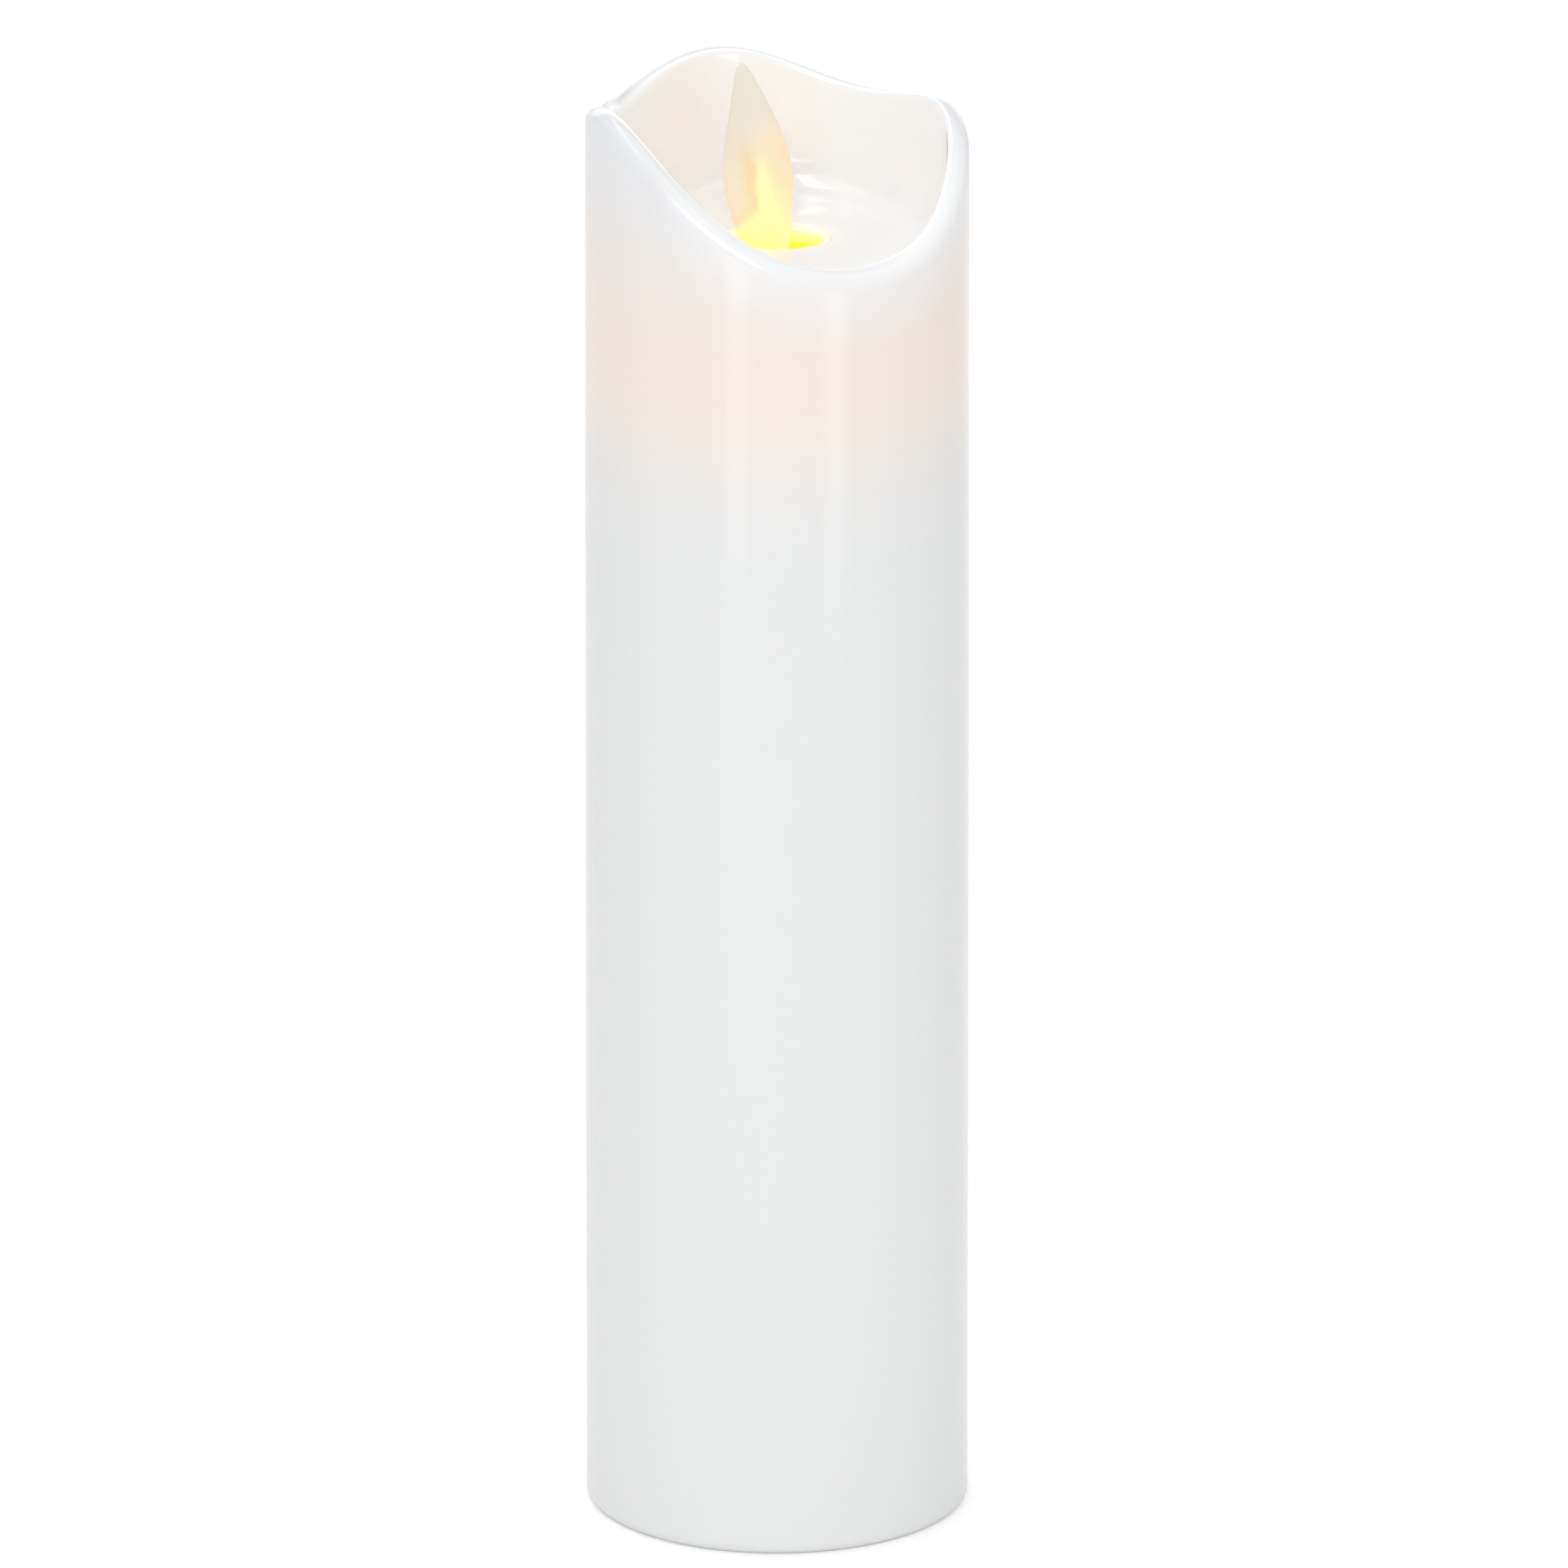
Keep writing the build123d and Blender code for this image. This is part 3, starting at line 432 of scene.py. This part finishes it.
finish_nodes(
    metal("zinc_screw", (0.62, 0.63, 0.64), 0.34), "base_screws", "top_screws", "case_screws", "board_screws"
)
finish_nodes(metal("drawn_wire", (0.70, 0.70, 0.71), 0.22, (1, 0.05, 1)), "pivot_wire")
finish_nodes(
    metal("nickel_plate", (0.74, 0.71, 0.66), 0.24),
    "positive_contact", "negative_contact", "negative_spring", "door_contact", "door_spring",
)
finish_nodes(metal("magnet_nickel", (0.66, 0.66, 0.67), 0.16), "paddle_magnet")
finish_nodes(metal("tinned", (0.72, 0.72, 0.73), 0.30), "led_leads", "switch_terminals")
finish_nodes(metal("switch_steel", (0.60, 0.60, 0.60), 0.36, (0.06, 1, 1)), "switch_can")

# ------------------------------------------------------------------ drive coil
# The winding is a few hundred turns of enamelled copper wire, in layers. The turns show as fine
# rings round the coil, and the enamel gives it a glossy brown coat.
copper, shader, here = new_finish("enamelled_copper", Metallic=0.85, Coat_Weight=0.6, Coat_Roughness=0.1)
x, y, z = here.parts()
turns = (z * (2 * math.pi / 0.00021)).maths("SINE", z * (2 * math.pi / 0.00021)) * 0.5 + 0.5
feed(shader, Base_Color=turns.between((0.30, 0.09, 0.03), (0.74, 0.32, 0.13)))
feed(shader, Roughness=turns * -0.15 + 0.42, Normal=turns.bump(0.00006))
finish_nodes(copper, "coil_winding", "coil_leads")

# ------------------------------------------------------------------ lamp
# A round warm-white lamp, cast in tinted epoxy. It stays dim here, because what it lights is
# shown by the flame, the ring and the wax.
lamp_finish, shader, here = new_finish(
    "lamp_epoxy", Roughness=0.08, IOR=1.53, Transmission_Weight=0.6, Emission_Strength=1.5
)
x, y, z = here.parts()
core = z.step(0.1605, 0.1640)
feed(shader, Base_Color=core.between((0.80, 0.62, 0.25), (1.0, 0.93, 0.72)))
feed(shader, Emission_Color=core.between((0.25, 0.15, 0.03), (1.0, 0.78, 0.35)))
finish_nodes(lamp_finish, "led_lamp")

# ------------------------------------------------------------------ control board
# A round glass-epoxy board with green solder mask over its tracks, and small parts soldered to
# its underside: the timer chip, resistors, transistors, a capacitor and a watch crystal.
board_finish, shader, here = new_finish("solder_mask", IOR=1.5, Coat_Weight=0.3, Coat_Roughness=0.15)
cells = here.make("ShaderNodeTexBrick", {"Vector": here, "Scale": 210.0, "Mortar Size": 0.03}, output=1)
weave = here.noise(1500, 2)
feed(shader, Base_Color=cells.between((0.012, 0.11, 0.045), (0.03, 0.20, 0.08)))
feed(shader, Roughness=weave * 0.15 + 0.30, Normal=(cells * 0.7 + weave * 0.3).bump(0.00003))
finish_nodes(board_finish, "circuit_board")
finish_nodes(
    moulded("chip_epoxy", (0.03, 0.03, 0.033), 0.5), "control_chip", "board_resistors", "board_transistors"
)
finish_nodes(moulded("capacitor_sleeve", (0.02, 0.035, 0.12), 0.25, 0.000004), "board_capacitor")
finish_nodes(metal("crystal_can", (0.78, 0.78, 0.79), 0.2), "timer_crystal")

# ------------------------------------------------------------------ cells
# Two AA cells: a nickel-plated steel can in a shrunk film. The film is plain teal with a pale
# band at its positive end, and carries no lettering.
finish_nodes(metal("cell_can", (0.72, 0.72, 0.72), 0.26, (1, 1, 0.05)), "cell_can_left", "cell_can_right")


def cell_film(name, low, high):
    """Shrunk film with a pale band at the positive end, which lies between two heights."""
    material, shader, here = new_finish(name, IOR=1.5, Coat_Weight=0.4, Coat_Roughness=0.08)
    x, y, z = here.parts()
    band = z.step(low, low + 0.0001) * z.step(high, high - 0.0001)
    crinkle = here.noise(350, 3)
    feed(shader, Base_Color=band.between((0.02, 0.13, 0.17), (0.75, 0.75, 0.72)))
    feed(shader, Roughness=crinkle * 0.12 + 0.24, Normal=crinkle.bump(0.00002))
    return material


finish_nodes(cell_film("cell_film_left", 0.050, 0.060), "cell_wrap_left")
finish_nodes(cell_film("cell_film_right", 0.004, 0.014), "cell_wrap_right")


# ------------------------------------------------------------------ wiring
# Stranded copper in soft vinyl: red and black from the battery bay, blue from the switch, white
# to the lamp.
def vinyl(name, colour):
    """Soft vinyl insulation, with a faint dusty bloom."""
    material, shader, here = new_finish(name, IOR=1.5)
    bloom = here.noise(700, 3)
    pale = tuple(0.85 * c + 0.05 for c in colour)
    feed(shader, Base_Color=bloom.between(colour, pale))
    feed(shader, Roughness=bloom * 0.2 + 0.35, Normal=bloom.bump(0.00001))
    return material


finish_nodes(vinyl("vinyl_red", (0.50, 0.02, 0.015)), "wire_positive")
finish_nodes(vinyl("vinyl_black", (0.02, 0.02, 0.02)), "wire_negative")
finish_nodes(vinyl("vinyl_blue", (0.02, 0.07, 0.40)), "wire_switched")
finish_nodes(vinyl("vinyl_white", (0.80, 0.80, 0.78)), "led_wires")

# ------------------------------------------------------------------ flame
# The flame is a thin leaf of frosted plastic, bowed towards the front, with a stem that hangs on the pivot
# wire and a cup for the magnet. The lamp stands to its right and lights it from below; that light is painted
# on, as a lighter colour with an orange fringe and a glow on its lower right, and a faint painted glow over
# the rest, which stays pale ivory.
pivot_height, flame_lean = 172.2, math.radians(-7.75)
sheet_bow = 9.0
leaf_outline = (  # height above the pivot, reach to the left, reach to the right
    (1.5, 1.3, 1.3), (3.5, 1.3, 1.3), (7.0, 2.35, 2.35), (11.6, 3.6, 3.5),
    (16.8, 4.65, 4.55), (20.6, 4.7, 4.9), (24.2, 4.1, 4.55), (28.3, 3.0, 3.6),
    (33.2, 1.65, 2.0), (35.6, 0.9, 1.1), (36.6, 0.45, 0.55), (37.0, 0.0, 0.0),
)


def through(points, place):
    """A smooth curve through (place, value) points: cubics whose slopes are their neighbours' chords."""
    at_x, at_y = points
    slope = np.gradient(at_y, at_x)
    i = np.clip(np.searchsorted(at_x, place) - 1, 0, len(at_x) - 2)
    gap = at_x[i + 1] - at_x[i]
    t = (place - at_x[i]) / gap
    value = at_y[i] * (1 + 2 * t) * (1 - t) ** 2 + at_y[i + 1] * t * t * (3 - 2 * t)
    return value + gap * t * (1 - t) * (slope[i] * (1 - t) - slope[i + 1] * t)


def leaning(points):
    """Turns points modelled upright about the pivot to the flame's resting lean."""
    x, y, z = points[..., 0], points[..., 1], points[..., 2]
    cos, sin = math.cos(flame_lean), math.sin(flame_lean)
    return np.stack([x * cos + z * sin, y, z * cos - x * sin + pivot_height], axis=-1)


def bowed_strip(height, left, right, thickness, around=72):
    """Rings of a strip bowed about an upright axis behind it, with a lens-shaped, round-edged section."""
    t = np.linspace(0, 2 * np.pi, around, endpoint=False)[None, :]
    across = np.where(np.cos(t) > 0, right[:, None], left[:, None]) * np.cos(t)
    bow = sheet_bow - np.sqrt(sheet_bow**2 - across**2)
    depth = 0.5 * thickness[:, None] * np.sign(np.sin(t)) * np.abs(np.sin(t)) ** 0.6
    lean = across / sheet_bow
    return np.stack([across - depth * lean, bow + depth * np.cos(lean), height[:, None] + 0 * t], axis=-1)


rise = 1.5 + 35.5 * np.sin(np.linspace(0, np.pi / 2, 150)) ** 1.15
rise = np.append(rise[:-1], 36.99)
outline_rise, *outline_sides = np.array(leaf_outline).T
left, right = (np.maximum(through((outline_rise, side), rise), 0.02) for side in outline_sides)
thick = 0.66 * np.minimum(1, 0.25 + right / 1.6)
leaf = loft("flame_leaf", leaning(bowed_strip(rise, left, right, thick)))
leaf_map = leaf.data.uv_layers.new(name="leaf")
vertex = np.zeros(len(leaf.data.loops), dtype=np.int32)
leaf.data.loops.foreach_get("vertex_index", vertex)
upright = bowed_strip(rise, left, right, thick).reshape(-1, 3)[vertex]
leaf_map.data.foreach_set("uv", np.stack([upright[:, 0] / 10 + 0.5, upright[:, 2] / 40], axis=-1).ravel())

leaf_finish, shader, here = new_finish(
    "frosted_leaf", Roughness=0.42, IOR=1.46, Emission_Strength=1.0
)
across, up, _ = here.make("ShaderNodeUVMap", uv_map="leaf").parts()
across, up = (across - 0.5) * 10, up * 40  # millimetres from the leaf's middle line and the pivot
soft = here.noise(420, 3) - 0.5
border = up.step(9.5, 17) * 4.8 - 5.6
# The lamp's patch of light on the leaf, painted into its colour and glow, with an orange fringe at its edge.
lit = (across + soft * 2.2 - border).step(-1.7, 1.5) * (up - across * 0.9 + soft * 6).step(28.5, 17.5)
fringe = (across + soft * 2.5 - border).bell(-0.2, 1.1) * up.step(28, 21) * up.step(12, 17)
pale = up.step(14, 34).between((0.87, 0.76, 0.53), (0.85, 0.80, 0.67))
pale = lit.between(pale, (0.95, 0.80, 0.50))
feed(shader, Base_Color=(fringe * 0.65).between(pale, (0.93, 0.60, 0.28)))
hot, edgeward = up.step(24, 9), across.step(0.8, 4.4)
lamp_light = hot.between((0.17, 0.10, 0.07), (0.50, 0.42, 0.08))
core = (across + soft * 1.5).bell(0.7, 0.9) * up.step(26, 17) * up.step(4, 9)
lamp_light = (core * 0.7).between(lamp_light, (0.62, 0.52, 0.06))
lamp_light = edgeward.between(lamp_light, hot.between((0.18, 0.07, 0.09), (0.40, 0.27, 0.12)))
ambient = up.step(35, 13).between((0.04, 0.04, 0.05), (0.17, 0.15, 0.13))
feed(shader, Emission_Color=lit.between(ambient, lamp_light))
feed(shader, Normal=here.noise(2500, 2).bump(0.00001))
leaf.data.materials.append(leaf_finish)
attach(leaf, "flame")
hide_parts("flame_paddle")


def turned(name, profile, axis="Z", around=64):
    """A body turned about an axis through the pivot, from a closed outline of (radius, place) points."""
    angle = np.linspace(0, 2 * np.pi, around, endpoint=False)[None, :]
    radius, along = (np.array(column)[:, None] + 0 * angle for column in zip(*profile))
    a, b = radius * np.cos(angle), radius * np.sin(angle)
    rings = np.stack([a, b, along] if axis == "Z" else [a, along, b], axis=-1)
    return loft(name, leaning(rings), joined=True)


eyelet = turned(
    "flame_eyelet",
    [
        (0.33, -0.8), (0.43, -0.9), (1.85, -0.9), (2.0, -0.75),
        (2.0, 0.75), (1.85, 0.9), (0.43, 0.9), (0.33, 0.8),
    ],
    axis="Y",
)
cup = turned(
    "magnet_cup",
    [(0.01, -18.5), (3.2, -18.5), (3.3, -18.4), (3.3, -17.85), (3.15, -17.7), (1.6, -17.7), (0.01, -17.4)],
)
stem_rise = np.linspace(-17.8, -1.5, 40)
stem_half = np.full(40, 1.3)
stem = loft("flame_stem", leaning(bowed_strip(stem_rise, stem_half, stem_half, np.full(40, 0.66), 32)))
for piece in (eyelet, cup, stem):
    piece.data.materials.append(leaf_finish)
    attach(piece, "flame")

# ------------------------------------------------------------------ studio
# A pale floor, a white room with soft panels in front, above and behind, a long narrow box overhead,
# and two low strip lights that draw the upright highlights on the wax. The floor has a hole under the
# candle's foot and is clear from below, so that the battery door shows and can swing down.
floor_around = 96
floor_reach = np.array([0.0245, 0.03, 0.06, 0.2, 1.0, 6.0])[:, None]
bearing = np.linspace(0, 2 * np.pi, floor_around, endpoint=False)[None, :]
floor_points = [floor_reach * np.sin(bearing), floor_reach * np.cos(bearing), 0 * floor_reach * bearing]
floor_points = np.stack(floor_points, axis=-1)
ring, place = np.arange(len(floor_reach) - 1)[:, None] * floor_around, np.arange(floor_around)[None, :]
beside, outwards = (place + 1) % floor_around, ring + floor_around
floor_quads = [ring + place, ring + beside, outwards + beside, outwards + place]
floor_quads = np.stack(floor_quads, axis=-1).reshape(-1, 4)
floor_mesh = bpy.data.meshes.new("floor")
floor_mesh.from_pydata(floor_points.reshape(-1, 3), [], floor_quads.tolist())
floor = bpy.data.objects.new("floor", floor_mesh)
bpy.context.scene.collection.objects.link(floor)
floor_finish, shader, here = new_finish("pale_floor", Roughness=0.6, Emission_Strength=1.0)
feed(shader, Base_Color=here.noise(3, 2).between((0.93, 0.93, 0.93), (0.95, 0.95, 0.95)))
seen = here.make("ShaderNodeLightPath")
feed(shader, Emission_Color=seen.between((0.05, 0.05, 0.05), (0.22, 0.22, 0.22)))
below = here.make("ShaderNodeNewGeometry", output=6)
clear = here.make("ShaderNodeBsdfTransparent")
sides = {"Fac": below, 1: Socket(here.tree, shader.outputs[0]), 2: clear}
surface = here.make("ShaderNodeMixShader", sides)
here.tree.links.new(surface.socket, here.tree.nodes["Material Output"].inputs["Surface"])
floor.data.materials.append(floor_finish)

world = bpy.data.worlds.new("white_room")
bpy.context.scene.world = world
world.use_nodes = True
backdrop = world.node_tree.nodes["Background"]
backdrop.inputs["Color"].default_value = (1, 1, 1, 1)
backdrop.inputs["Strength"].default_value = 0.6


def panel(name, place, aim, size, power, colour=(1, 1, 1)):
    """A flat soft light at a place, turned to face a point, that the camera doesn't see."""
    lamp = bpy.data.lights.new(name, "AREA")
    lamp.shape = "RECTANGLE"
    lamp.size, lamp.size_y = size
    lamp.energy = power
    lamp.color = colour
    light = bpy.data.objects.new(name, lamp)
    bpy.context.scene.collection.objects.link(light)
    from_aim = np.array(place, dtype=float) - aim
    flat = math.hypot(from_aim[0], from_aim[1])
    light.location = place
    light.rotation_euler = (math.atan2(flat, from_aim[2]), 0, math.atan2(from_aim[0], -from_aim[1]))
    light.visible_camera = False
    return light


middle = (0, 0, 0.104)
panel("front_panel", (-0.2, -2.2, 1.6), middle, (1.6, 1.2), 15.5)
panel("top_panel", (0, 0.3, 2.2), middle, (2.0, 2.0), 9)
panel("back_panel", (0, 2.4, 0.65), middle, (3.0, 1.1), 9)
panel("overhead_box", (-0.2, 0.55, 1.18), (-0.2, 0.55, 0), (0.1, 1.6), 1.4)
for name, bearing in (("left_strip", -23.5), ("right_strip", 34.5)):
    a = math.radians(bearing)
    place = (0.4 * math.sin(a), -0.4 * math.cos(a), 0.07)
    panel(name, place, (0, 0, 0.07), (0.095, 0.11), 0.045)

tilt, distance = math.radians(19), 6.5
camera_data = bpy.data.cameras.new("camera")
camera_data.sensor_width = 36
camera_data.lens = 36 * distance / 0.21676
camera_data.clip_end = 100
camera = bpy.data.objects.new("camera", camera_data)
bpy.context.scene.collection.objects.link(camera)
camera.location = (0.00095, -distance * math.cos(tilt), 0.1039 + distance * math.sin(tilt))
camera.rotation_euler = (math.pi / 2 - tilt, 0, 0)
bpy.context.scene.camera = camera
bpy.context.scene.view_settings.view_transform = "Standard"
